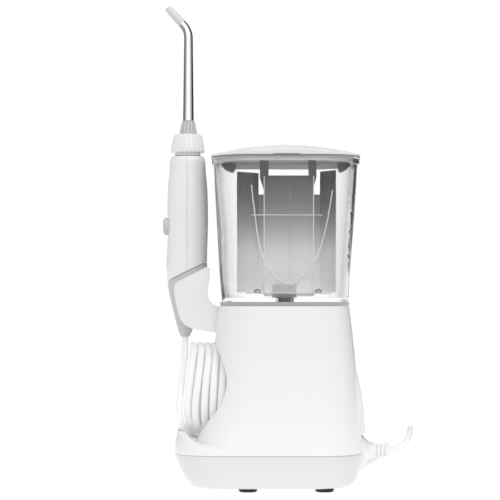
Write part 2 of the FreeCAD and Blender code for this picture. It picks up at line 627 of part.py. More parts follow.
ring_core = loft("ring_core", [(139.0, -46.6, 45.6, 44.8, 26.0), (143.5, -46.6, 45.6, 44.8, 26.0)], "ring_core")
node(cut("ring_cut", ring_block, ring_core), "tank_base_ring")
node(spin("valve_seat_form", [(4.2, 141.0), (7.0, 141.0), (7.0, 145.9), (10.0, 145.9), (10.0, 147.2), (8.6, 148.2), (4.2, 148.2)], 0, valve_y, 0),
     "tank_valve_seat")
node(spin("poppet_form", [(0, 141.6), (2.0, 141.6), (2.0, 148.4), (6.4, 148.4), (6.4, 149.6), (1.6, 150.2), (1.6, 153.0),
                          (0, 153.0)], 0, valve_y, 0), "valve_poppet")
cage = cut("cage", spin("cage_form", [(8.8, 148.3), (10.0, 148.3), (10.0, 156.6), (2.1, 156.6), (2.1, 155.4), (8.8, 155.4)], 0, valve_y, 0),
           box("cage_slot_a", -12, 12, valve_y - 3, valve_y + 3, 149.4, 155.3),
           box("cage_slot_b", -3, 3, valve_y - 12, valve_y + 12, 149.4, 155.3))
node(cage, "valve_cage")
node(coil_spring("valve_spring_wire", 3.6, 0.35, 1.7, 4.4, 0, valve_y, 150.4, "z"), "valve_spring")
node(spin("seat_form", [(2.6, 134.6), (9.0, 134.6), (9.0, 139.6), (11.0, 139.6), (11.0, 140.3), (2.6, 140.3)], 0, valve_y, 0), "inlet_gasket")

# --------------------------------------------------------------- lid and tip case
lid_rows = [(252.6, -56.6, 57.2, 49.4, 31.0), (270.0, -57.0, 57.6, 49.8, 31.0)]
dome_r = size("lid_dome_radius", 215.0)
dome_z = size("lid_dome_top", 263.9)


def ball(name, radius, x, y, z):
    obj = doc.addObject("Part::Sphere", name)
    bind(obj, "Radius", sized(radius))
    return place(obj, x, y, z)


lid_outer = common("lid_outer", loft("lid_block", lid_rows, "lid"), ball("dome_out", dome_r, 0.3, 0, dome_z - dome_r))
lid_round = fillet("lid_round", lid_outer, 0.9, lambda e: e.CenterOfMass.z > 253.5 and not (
    abs(e.Vertexes[0].Point.z - e.Vertexes[-1].Point.z) > 0.8 and e.Length < 8))
lid_in_rows = [(252.0, -54.4, 55.0, 47.2, 29.0), (270.0, -54.4, 55.0, 47.2, 29.0)]
lid_inner = common("lid_inner", loft("lid_hollow", lid_in_rows, "lid_hollow"), ball("dome_in", dome_r - 2.3, 0.3, 0, dome_z - dome_r))
skirt_out = loft("skirt_out", [(249.0, -51.8, 52.2, 45.0, 27.5), (256.5, -51.8, 52.2, 45.0, 27.5)], "skirt")
skirt_in = loft("skirt_in", [(248.0, -50.0, 50.4, 43.2, 26.0), (258.0, -50.0, 50.4, 43.2, 26.0)], "skirt_hollow")
skirt = common("skirt", cut("skirt_ring", skirt_out, skirt_in), fuse("skirt_limit", lid_outer,
               box("skirt_low", -60, 60, -60, 60, 248, 253.2)))
lid_full = fuse("lid_full", cut("lid_shell", lid_round, lid_inner), skirt)
lid_grip = cut("lid_grip", lid_full, box("grip_notch", -9.6, 10.4, -52, -48.3, 252, 254.0))
node(lid_grip, "lid")
clips = fuse("clips", box("clip_left", -47.9, -38.4, -6, 6, 242.6, 248.9), box("clip_right", 40.6, 51.2, -6, 6, 243.2, 248.9))
clip_trim = common("clip_trim", clips, loft("clip_space", [(235.0, -49.6, 49.9, 42.8, 26.0), (249.5, -49.8, 50.2, 43.0, 26.0)], "clip_space"))
clip_a = cut("clip_bevel", clip_trim, place(box("clip_wedge", -6, 6, -8, 8, -6, 0), -38.4, 0, 242.0,
                                            FreeCAD.Rotation(V(0, 1, 0), -20)))
clip_link = fuse("clip_links", box("link_left", -51.0, -38.4, -6, 6, 248.9, 250.6), box("link_right", 40.6, 51.4, -6, 6, 248.9, 250.6))
clip_link_fit = common("clip_link_fit", clip_link, loft("link_space", [(248.0, -49.9, 50.3, 43.1, 26.0), (251.0, -49.9, 50.3, 43.1, 26.0)], "link_space"))
node(fuse("clip_set", clip_a, clip_link_fit), "lid_clips")
hang = [(x0, x1) for x0, x1 in ((-19.4, -12.6), (18.6, 24.8))]
legs = []
for i, (x0, x1) in enumerate(hang):
    legs.append(slab("hanger_%d" % (i + 1), [(x0, 241.0 if i else 240.0), (x0, 257.2), (x1, 257.2), (x1, 228.6), (x0 + 3.4, 228.6)]
                if not i else [(x0, 228.6), (x0, 257.2), (x1, 257.2), (x1, 240.0), (x1 - 3.2, 228.6)], 9.2, 11.8))
node(fuse("hangers", *legs), "case_hangers")
case_box = box("case_box", -16.3, 22.2, -3.0, 15.0, 146.8, 240.6)
case_void = box("case_void", -14.7, 20.6, -1.4, 20.0, 148.4, 239.0)
case_shell = cut("case_shell", case_box, case_void)
wing_bridge = fuse("wing_bridge", box("bridge_left", -21.4, -15.8, 1.6, 3.2, 149.0, 226.0),
                   box("bridge_right", 21.8, 28.4, 1.6, 3.2, 149.8, 226.0))
plate_l = doc.addObject("Part::Feature", "plate_left")
plate_l.Shape = Part.makePolygon([V(-20.4, 3.2, 0), V(-20.4, 1.6, 0), V(-36.0, -12.6, 0), V(-37.2, -11.4, 0), V(-20.4, 3.2, 0)])
plate_l.Shape = Part.Face(Part.Wire(plate_l.Shape.Edges)).extrude(V(0, 0, 93.0))
plate_l.Placement = FreeCAD.Placement(V(0, 0, 149.8), FreeCAD.Rotation())
plate_r = doc.addObject("Part::Feature", "plate_right")
plate_r.Shape = Part.makePolygon([V(27.4, 3.2, 0), V(39.2, -11.4, 0), V(38.0, -12.6, 0), V(27.4, 1.6, 0), V(27.4, 3.2, 0)])
plate_r.Shape = Part.Face(Part.Wire(plate_r.Shape.Edges)).extrude(V(0, 0, 94.0))
plate_r.Placement = FreeCAD.Placement(V(0, 0, 150.0), FreeCAD.Rotation())
node(cut("case_cut", fuse("case_all", case_shell, wing_bridge, plate_l, plate_r),
         box("hang_slot_a", -19.8, -12.2, 8.8, 12.2, 228.4, 241.0), box("hang_slot_b", 18.2, 25.2, 8.8, 12.2, 228.4, 241.0)), "tip_case")

# --------------------------------------------------------------- drive and pump
node(fuse("frame_sum", cut("frame_plate", box("plate", -30, 46.5, -21, 21, 79.5, 82.5),
          cylinder("shaft_clear", 4.2, 10, pinion_x, 0, 76), cylinder("gear_pin_hole", 2.5, 10, gear_x, 0, 76)),
          box("pump_post", 33.0, 46.5, -6.5, 6.5, 82.5, pump_z - 9.0), box("valve_shelf", -9, 9, 20, 31, 79.5, 82.5),
          *frame_legs), "pump_frame")
node(cylinder("gear_pin", 2.5, 15.5, gear_x, 0, 78.0), "gear_shaft")
motor = fuse("motor_sum", cylinder("motor_can", size("motor_radius", 18.0), 73.8, pinion_x, 0, 5.7),
             cylinder("motor_boss", 4.0, 2.6, pinion_x, 0, 79.4))
node(cut("motor_cut", motor, cylinder("shaft_bore", 1.55, 20, pinion_x, 0, 70)), "motor")


def toothed(name, teeth, radius, depth, height, x, y, z, phase=0.0):
    """Spur gear outline padded up from z."""
    body = doc.addObject("PartDesign::Body", name)
    sk = sketch(body, name + "_outline", "XY_Plane")
    pts = []
    for i in range(teeth):
        for frac, r in ((0.0, radius - depth), (0.28, radius - depth), (0.42, radius + depth), (0.58, radius + depth), (0.72, radius - depth)):
            if frac == 0.0:
                continue
            a = 2 * math.pi * (i + frac + phase) / teeth
            pts.append((r * math.cos(a), r * math.sin(a)))
    n = len(pts)
    for i in range(n):
        a, b = pts[i], pts[(i + 1) % n]
        sk.addGeometry(Part.LineSegment(V(a[0], a[1], 0), V(b[0], b[1], 0)), False)
    for i in range(n):
        sk.addConstraint(Sketcher.Constraint("Coincident", i, 2, (i + 1) % n, 1))
    for i in range(n):
        sk.addConstraint(Sketcher.Constraint("Block", i))
    pad = body.newObject("PartDesign::Pad", name + "_pad")
    pad.Profile = sk
    bind(pad, "Length", sized(height))
    return place(body, x, y, z)


gear_teeth = int(size("gear_teeth", 50).value)
pinion_teeth = int(size("pinion_teeth", 10).value)
gear_body = toothed("gear_blank", gear_teeth, 24.7, 0.9, size("gear_height", 6.0), gear_x, 0, 84.0)
pinion_body = toothed("pinion_blank", pinion_teeth, 4.6, 0.9, size("pinion_height", 7.0), pinion_x, 0, 83.6, 0.5)
node(cut("gear_cut", fuse("gear_sum", gear_body, cylinder("crank_pin", 2.2, pump_z - 2.3 - 90.0, gear_x + crank, 0, 90.0)),
         cylinder("gear_bore", 2.55, 20, gear_x, 0, 80)), "drive_gear")
node(fuse("pinion_sum", cut("pinion_ring", pinion_body, cylinder("pinion_bore", 1.5, 20, pinion_x, 0, 80)),
          cylinder("motor_shaft", 1.5, 18.0, pinion_x, 0, 73.0)), "motor_pinion")
rod_x = gear_x + crank
rod_end = rod_x + rod_long
node(cut("rod_cut", fuse("rod_sum", cylinder("rod_big", 4.6, 4.0, rod_x, 0, pump_z - 2.0),
                         box("rod_bar", rod_x, rod_end, -1.8, 1.8, pump_z - 2.0, pump_z + 2.0),
                         cylinder("rod_small", 3.2, 4.0, rod_end, 0, pump_z - 2.0)),
         cylinder("rod_bore_a", 2.3, 8, rod_x, 0, pump_z - 4.0), cylinder("rod_bore_b", 1.55, 8, rod_end, 0, pump_z - 4.0)),
     "connecting_rod")
node(cylinder("wrist", 1.5, 7.6, rod_end, 0, pump_z - 3.8), "wrist_pin")
plunger_r = size("plunger_radius", 4.0)
fork = cut("fork", box("fork_block", rod_end - 3.4, rod_end + 8, -4.0, 4.0, pump_z - 3.8, pump_z + 3.8),
           box("fork_slot", rod_end - 4, rod_end + 4.4, -6, 6, pump_z - 2.1, pump_z + 2.1),
           cylinder("fork_bore", 1.5, 10, rod_end, 0, pump_z - 5))
plunger = cylinder("plunger", plunger_r, 15.0, rod_end + 7.5, 0, pump_z, "x")
groove = cut("groove", cylinder("groove_out", 5.0, 1.6, rod_end + 18.2, 0, pump_z, "x"),
             cylinder("groove_in", 3.0, 1.6, rod_end + 18.2, 0, pump_z, "x"))
node(cut("piston_cut", fuse("piston_sum", common("fork_fit", fork, cylinder("fork_round", 5.4, 20, rod_end - 5, 0, pump_z, "x")),
                            plunger), groove), "piston")
node(cut("seal_cut", cylinder("seal_out", 4.08, 1.5, rod_end + 18.25, 0, pump_z, "x"),
         cylinder("seal_in", 3.0, 1.5, rod_end + 18.25, 0, pump_z, "x")), "piston_seal")
pump_block = fuse("pump_block", cylinder("pump_barrel", 9.0, 18.0, 31.0, 0, pump_z, "x"),
                  cylinder("pump_inlet", 3.4, 13.0, 40.0, 0, pump_z),
                  place(cylinder("pump_outlet", 3.2, 14.0, 0, 0, 0), 44.0, 0, pump_z, FreeCAD.Rotation(V(1, 0, 0), 90)))
node(cut("pump_cut", pump_block, cylinder("pump_bore", 4.1, 16.0, 30.0, 0, pump_z, "x"),
         cylinder("pump_in_bore", 1.4, 20, 40.0, 0, pump_z),
         place(cylinder("pump_out_bore", 1.3, 20, 0, 0, 0), 44.0, 0, pump_z, FreeCAD.Rotation(V(1, 0, 0), 90)),
         box("pump_flat", 33.0, 46.5, -6.5, 6.5, pump_z - 9.5, pump_z - 9.0)), "pump_cylinder")
inlet = route("inlet_line", [(0, 30, 134.5), (0, 30, 126.0), (8, 25, 123.0), (24, 11, 123.0), (40, 0, 124.0), (40, 0, 116.4)], 2.4, 0.42)
node(inlet, "inlet_tube")
outlet = route("outlet_line", [(44, -14.1, 103.3), (44, -20, 103.3), (36, -31, 104), (14, -33, 108), (-14, -27, 115), (-34, -13, 122),
                               (-47.6, 0.0, 124.8), (-47.6, 4.6, 120.2)], 2.2, 0.42)
node(outlet, "outlet_tube")

# --------------------------------------------------------------- hose hub and grommet
hub = cut("hub", cylinder("hub_drum", size("hub_radius", 28.5), 27.0, pocket_x - 27.0, 0, pocket_z, "x"),
          cylinder("hub_hollow", 25.5, 30.0, pocket_x - 24.5, 0, pocket_z, "x"))
node(hub, "hose_hub")
grommet_dir = FreeCAD.Rotation(V(0, 0, 1), V(0, 0.7071, -0.7071))
grommet = cut("grommet", place(cylinder("grommet_out", 4.15, 7.0, 0, 0, 0), -47.6, 4.8, 120.0, grommet_dir),
              place(cylinder("grommet_in", 2.7, 30, 0, 0, 0), -47.6, -5.0, 129.8, grommet_dir))
node(grommet, "hose_grommet")

# --------------------------------------------------------------- controls on the front
bezel = cut("bezel", cylinder("bezel_disc", 20.5, 14.0, 0, 38.5, dial_z, "y"), cylinder("bezel_bore", 4.1, 30, 0, 30, dial_z, "y"),
            cylinder("bezel_dish", 19.0, 30, 0, 50.2, dial_z, "y"))
node(bezel, "dial_bezel")
dial_turned = spin("dial_turned", [(0, 50.6), (18.3, 50.6), (18.5, 56.0), (17.8, 57.3), (16.2, 58.0), (7.4, 57.4), (0, 57.2)],
                   0, 0, dial_z, "y")
finger = box("finger_bar", -15.0, 15.0, 57.0, 59.6, dial_z - 2.4, dial_z + 2.4)
node(fuse("dial_sum", dial_turned, finger, cylinder("dial_stem", 4.0, 16.8, 0, 34.0, dial_z, "y")), "control_dial")
node(cut("pv_cut", fuse("pv_sum", cylinder("pv_body", 10.0, 12.0, 0, 26.2, dial_z, "y"), box("pv_foot", -9, 9, 26.2, 30.2, 82.5, dial_z)),
         cylinder("pv_bore", 4.1, 20, 0, 33.8, dial_z, "y")), "pressure_valve")
for word, sx in (("power", -1.0), ("mode", 1.0)):
    cap = cylinder(word + "_cap", size("button_radius", 6.3), 8.2, button_gap * sx, 46.0, button_z, "y")
    flange = cylinder(word + "_flange", 7.4, 1.4, button_gap * sx, 46.0, button_z, "y")
    node(fillet(word + "_button_form", fuse(word + "_sum", cap, flange), 0.9, lambda e: e.CenterOfMass.y > 54.0), word + "_button")
    node(coil_spring(word + "_spring_wire", 3.2, 0.35, 1.5, 3.6, button_gap * sx, 41.9, button_z, "y"), word + "_spring")
board = fuse("board", box("board_plate", -24, 24, 36.4, 38.0, 34.0, 72.0),
             cylinder("switch_a", 2.4, 3.4, -button_gap, 38.0, button_z, "y"), cylinder("switch_b", 2.4, 3.4, button_gap, 38.0, button_z, "y"),
             box("chip", -5, 5, 34.6, 36.4, 44, 54), box("board_stand", -20, 20, 36.6, 37.8, 5.5, 34.0))
node(board, "control_board")

# --------------------------------------------------------------- strain relief, mains lead and hose
relief_pts = [(0, 46.0), (4.9, 46.0), (4.9, 57.0), (12.5, 57.0), (12.5, 59.0), (11.2, 60.8), (8.2, 63.6), (6.4, 66.2), (6.0, 68.0)]
for i in range(3):
    a = 69.6 + i * 3.1
    relief_pts += [(5.7, a), (4.2, a + 0.2), (4.2, a + 1.2), (5.6, a + 1.4)]
relief_pts += [(5.5, 79.0), (5.0, 80.2), (0, 80.2)]
relief = spin("relief_form", relief_pts, 0, 0, seam_z - 0.4, "x")
relief_cut = cut("relief_cut", relief, common("relief_shadow", fuse("shadow", cut("shadow_a", housing_outer, cylinder("neck_a", 5.1, 30, 40, 0, seam_z - 0.4, "x")),
                 cut("shadow_b", pan_outer, cylinder("neck_b", 5.1, 30, 40, 0, seam_z - 0.4, "x"))), box("shadow_box", 30, 70, -20, 20, 10, 50)))
node(relief_cut, "strain_relief")
coil_at = V(20.0, 95.5, 0)
lead_coil = cut("lead_coil_form", cylinder("lead_coil_out", size("lead_coil_outer", 30.6), size("lead_coil_height", 19.6), coil_at.x, coil_at.y, 0.05),
                cylinder("lead_coil_in", size("lead_coil_inner", 20.4), 30, coil_at.x, coil_at.y, -2))
lead_pts = [(75.3, 0, 28.1), (85.2, 0.1, 28.3), (93.6, 2.6, 33.0), (98.4, 9.0, 40.5), (100.0, 20.5, 45.0), (99.0, 34.0, 44.5),
            (95.8, 47.0, 38.0), (88.5, 56.5, 27.5), (78.0, 62.5, 18.5), (66.0, 67.5, 10.0), (55.0, 70.2, 4.4),
            (43.0, 70.4, 2.6), (29.0, 70.2, 2.45)]
lead = route("lead_line", lead_pts, cord_r.value)
node(lead, "mains_lead")
tail_pts = [(12.0, 68.5, 14.0), (2.0, 67.5, 12.5), (-7.0, 68.2, 10.2), (-16.0, 69.0, 8.6)]
tail = route("tail_line", tail_pts, cord_r.value)
node(tail, "mains_lead_tail")
plug_body = spin("plug_body", [(0, 0), (4.2, 0), (5.2, 3), (6.6, 12), (8.4, 16), (8.4, 32), (7.6, 34), (0, 34)])
place(plug_body, -16.0, 69.0, 8.6, FreeCAD.Rotation(V(0, 1, 0), -90))
node(plug_body, "mains_plug")
blades = fuse("blades", box("blade_a", -66.0, -50.0, 61.9, 63.5, 5.4, 11.8), box("blade_b", -66.0, -50.0, 74.5, 76.1, 5.4, 11.8))
node(blades, "plug_blades")
node(lead_coil, "mains_lead_coil")
hose_pts = [(-77.3, 0, 121.0), (-77.3, 0, 104.0), (-78.2, -13.5, 91.5), (-79.4, -25.5, 78.5), (-80.6, -32.4, 64.5),
            (-79.6, -28.6, 50.9), (-77.0, -16.2, 42.5), (-75.4, -1.0, 40.2)]
hose_coil = cut("hose_coil_form", cylinder("hose_coil_out", coil_out, 31.4, coil_x0, 0, pocket_z, "x"),
                cylinder("hose_coil_in", coil_in, 40, coil_x0 - 2, 0, pocket_z, "x"))
bind(doc.getObject("hose_coil_out"), "Height", coil_x1 - coil_x0)
hose = route("hose_line", hose_pts, hose_r.value)
node(hose, "hose")
start_pts = [(-47.6, 9.7, 115.1), (-47.6, 14.9, 109.9), (-47.8, 21.0, 103.6)]
exit_tube = route("hose_start_line", start_pts, hose_r.value)
node(exit_tube, "hose_start")
node(hose_coil, "hose_coil")

# --------------------------------------------------------------- check and write
doc.recompute()
failed = [o.Name for o in doc.Objects if any(s in ("Invalid", "Error") for s in o.State)]
for obj in nodes:
    shape = obj.Shape
    if shape.isNull() or not shape.isValid() or not shape.Solids:
        failed.append(obj.Label + " shape")
if failed:
    raise RuntimeError("failed: " + ", ".join(failed))
box_all = FreeCAD.BoundBox()
cords = {"mains_lead", "mains_lead_coil", "mains_lead_tail", "mains_plug", "plug_blades", "strain_relief",
         "hose", "hose_coil", "hose_start"}
for obj in nodes:
    solids = len(obj.Shape.Solids)
    print("%-20s %d solid(s) volume %.1f" % (obj.Label, solids, obj.Shape.Volume))
    if obj.Label not in cords:
        box_all.add(obj.Shape.BoundBox)
    obj.Shape.exportStep("parts/%s.step" % obj.Label)
print("nodes", len(nodes), "box", box_all)
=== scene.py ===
import json
import math
import bmesh
import bpy
from mathutils import Matrix, Vector


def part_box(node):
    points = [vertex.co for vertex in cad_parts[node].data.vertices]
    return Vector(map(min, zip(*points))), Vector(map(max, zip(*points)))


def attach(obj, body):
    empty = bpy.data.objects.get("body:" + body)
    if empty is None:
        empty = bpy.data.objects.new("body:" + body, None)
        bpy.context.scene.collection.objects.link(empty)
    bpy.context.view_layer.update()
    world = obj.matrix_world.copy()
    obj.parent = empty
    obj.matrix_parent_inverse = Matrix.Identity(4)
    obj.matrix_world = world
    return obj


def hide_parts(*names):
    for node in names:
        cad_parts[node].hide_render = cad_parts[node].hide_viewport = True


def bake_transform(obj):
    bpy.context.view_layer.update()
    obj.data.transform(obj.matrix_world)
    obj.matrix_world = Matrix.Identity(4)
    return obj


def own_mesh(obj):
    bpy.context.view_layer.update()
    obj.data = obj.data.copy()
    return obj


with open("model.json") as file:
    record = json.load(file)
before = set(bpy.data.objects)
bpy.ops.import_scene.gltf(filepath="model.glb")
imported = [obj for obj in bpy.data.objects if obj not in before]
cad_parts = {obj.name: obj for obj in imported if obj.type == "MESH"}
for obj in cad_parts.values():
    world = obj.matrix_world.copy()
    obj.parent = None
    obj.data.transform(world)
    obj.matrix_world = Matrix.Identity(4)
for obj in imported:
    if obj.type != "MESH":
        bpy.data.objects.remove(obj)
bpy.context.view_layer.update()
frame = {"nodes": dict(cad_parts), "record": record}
NODES = frame["nodes"]

# The reservoir's own axis in the row frame: the gear shaft stands 6 mm to its left.
lo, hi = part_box("gear_shaft")
OX = (lo.x + hi.x) / 2 + 0.006
OY = (lo.y + hi.y) / 2


def P(x, y, z):
    """A point given in millimetres about the reservoir's axis."""
    return Vector((x / 1000 + OX, y / 1000 + OY, z / 1000))


# ------------------------------------------------------------------ camera
camera_data = bpy.data.cameras.new("camera")
camera = bpy.data.objects.new("camera", camera_data)
bpy.context.scene.collection.objects.link(camera)
camera.location = P(-27.1, -1300, 143)
camera.rotation_euler = (math.pi / 2 + math.radians(1.76), 0, 0)
camera_data.lens = 120.8
camera_data.sensor_width = 36
camera_data.clip_start = 0.01
camera_data.clip_end = 50
bpy.context.scene.camera = camera


# ------------------------------------------------------------------ materials
def material(name, colour, rough, metal=0.0, bump=0.05, scale=900.0, spread=0.02, rough_spread=0.05, coat=0.0,
             transmission=0.0, ior=1.5, alpha=1.0, subsurface=0.0, streak=None):
    """Moulded or polished surface: fine colour and roughness variation and a very fine texture in the surface."""
    mat = bpy.data.materials.new(name)
    mat.use_nodes = True
    nt = mat.node_tree
    bsdf = nt.nodes["Principled BSDF"]
    tc = nt.nodes.new("ShaderNodeTexCoord")
    base = nt.nodes.new("ShaderNodeTexNoise")
    base.inputs["Scale"].default_value = 18.0
    base.inputs["Detail"].default_value = 3.0
    nt.links.new(tc.outputs["Object"], base.inputs["Vector"])
    ramp = nt.nodes.new("ShaderNodeMix")
    ramp.data_type = "RGBA"
    dark = [max(c * (1 - spread), 0) for c in colour[:3]] + [1]
    light = [min(c * (1 + spread), 1) for c in colour[:3]] + [1]
    ramp.inputs[6].default_value = dark
    ramp.inputs[7].default_value = light
    nt.links.new(base.outputs["Fac"], ramp.inputs[0])
    nt.links.new(ramp.outputs[2], bsdf.inputs["Base Color"])
    fine = nt.nodes.new("ShaderNodeTexNoise")
    fine.inputs["Scale"].default_value = scale
    fine.inputs["Detail"].default_value = 2.0
    if streak:
        mapping = nt.nodes.new("ShaderNodeMapping")
        mapping.inputs["Scale"].default_value = streak
        nt.links.new(tc.outputs["Object"], mapping.inputs["Vector"])
        nt.links.new(mapping.outputs["Vector"], fine.inputs["Vector"])
    else:
        nt.links.new(tc.outputs["Object"], fine.inputs["Vector"])
    rr = nt.nodes.new("ShaderNodeMapRange")
    rr.inputs["To Min"].default_value = max(rough - rough_spread, 0.0)
    rr.inputs["To Max"].default_value = min(rough + rough_spread, 1.0)
    nt.links.new(fine.outputs["Fac"], rr.inputs["Value"])
    nt.links.new(rr.outputs["Result"], bsdf.inputs["Roughness"])
    if bump:
        b = nt.nodes.new("ShaderNodeBump")
        b.inputs["Strength"].default_value = bump
        b.inputs["Distance"].default_value = 0.0002
        nt.links.new(fine.outputs["Fac"], b.inputs["Height"])
        nt.links.new(b.outputs["Normal"], bsdf.inputs["Normal"])
    bsdf.inputs["Metallic"].default_value = metal
    bsdf.inputs["IOR"].default_value = ior
    bsdf.inputs["Coat Weight"].default_value = coat
    bsdf.inputs["Coat Roughness"].default_value = 0.08
    bsdf.inputs["Transmission Weight"].default_value = transmission
    bsdf.inputs["Alpha"].default_value = alpha
    if subsurface:
        bsdf.inputs["Subsurface Weight"].default_value = subsurface
        bsdf.inputs["Subsurface Radius"].default_value = (0.004, 0.0035, 0.003)
        bsdf.inputs["Subsurface Scale"].default_value = 1.0
    return mat


def with_painted_height_shade(mat, low, high, colours, alphas=None):
    """Colour and see-through vary along Z: painted shade and painted light, darker or paler by height."""
    nt = mat.node_tree
    bsdf = nt.nodes["Principled BSDF"]
    tc = nt.nodes.new("ShaderNodeTexCoord")
    split = nt.nodes.new("ShaderNodeSeparateXYZ")
    nt.links.new(tc.outputs["Object"], split.inputs[0])
    span = nt.nodes.new("ShaderNodeMapRange")
    span.inputs["From Min"].default_value = low
    span.inputs["From Max"].default_value = high
    nt.links.new(split.outputs["Z"], span.inputs["Value"])
    ramp = nt.nodes.new("ShaderNodeValToRGB")
    while len(ramp.color_ramp.elements) < len(colours):
        ramp.color_ramp.elements.new(0.5)
    for element, (place, value) in zip(ramp.color_ramp.elements, colours):
        element.position = place
        element.color = (value * 0.99, value, value * 1.01, 1)
    nt.links.new(span.outputs["Result"], ramp.inputs[0])
    nt.links.new(ramp.outputs["Color"], bsdf.inputs["Base Color"])
    if alphas:
        fade = nt.nodes.new("ShaderNodeValToRGB")
        while len(fade.color_ramp.elements) < len(alphas):
            fade.color_ramp.elements.new(0.5)
        for element, (place, value) in zip(fade.color_ramp.elements, alphas):
            element.position = place
            element.color = (value, value, value, 1)
        nt.links.new(span.outputs["Result"], fade.inputs[0])
        nt.links.new(fade.outputs["Color"], bsdf.inputs["Alpha"])
    return mat


def with_painted_edge_shade(mat, body, edge, blend=0.5):
    """Painted shade: the base colour darkens where a clear wall is seen edge-on, by the facing angle."""
    nt = mat.node_tree
    bsdf = nt.nodes["Principled BSDF"]
    facing = nt.nodes.new("ShaderNodeLayerWeight")
    facing.inputs["Blend"].default_value = blend
    mix = nt.nodes.new("ShaderNodeMix")
    mix.data_type = "RGBA"
    mix.inputs[6].default_value = (*body, 1)
    mix.inputs[7].default_value = (*edge, 1)
    nt.links.new(facing.outputs["Facing"], mix.inputs[0])
    nt.links.new(mix.outputs[2], bsdf.inputs["Base Color"])
    return mat


def with_painted_glow(mat, strength):
    """Painted glow: white emission that keeps a part paler than its lighting makes it, such as the shaded hollows
    between hose turns.
    """
    bsdf = mat.node_tree.nodes["Principled BSDF"]
    bsdf.inputs["Emission Color"].default_value = (1, 1, 1, 1)
    bsdf.inputs["Emission Strength"].default_value = strength
    return mat


def with_painted_reflection_band(mat, levels):
    """Painted reflection on a polished tube: base colour bright along the middle and darker towards its flanks, by the
    facing angle.
    """
    nt = mat.node_tree
    facing = nt.nodes.new("ShaderNodeLayerWeight")
    facing.inputs["Blend"].default_value = 0.5
    ramp = nt.nodes.new("ShaderNodeValToRGB")
    while len(ramp.color_ramp.elements) < len(levels):
        ramp.color_ramp.elements.new(0.5)
    for element, (place, value) in zip(ramp.color_ramp.elements, levels):
        element.position = place
        element.color = (value, value, value, 1)
    nt.links.new(facing.outputs["Facing"], ramp.inputs[0])
    nt.links.new(ramp.outputs["Color"], nt.nodes["Principled BSDF"].inputs["Base Color"])
    return mat


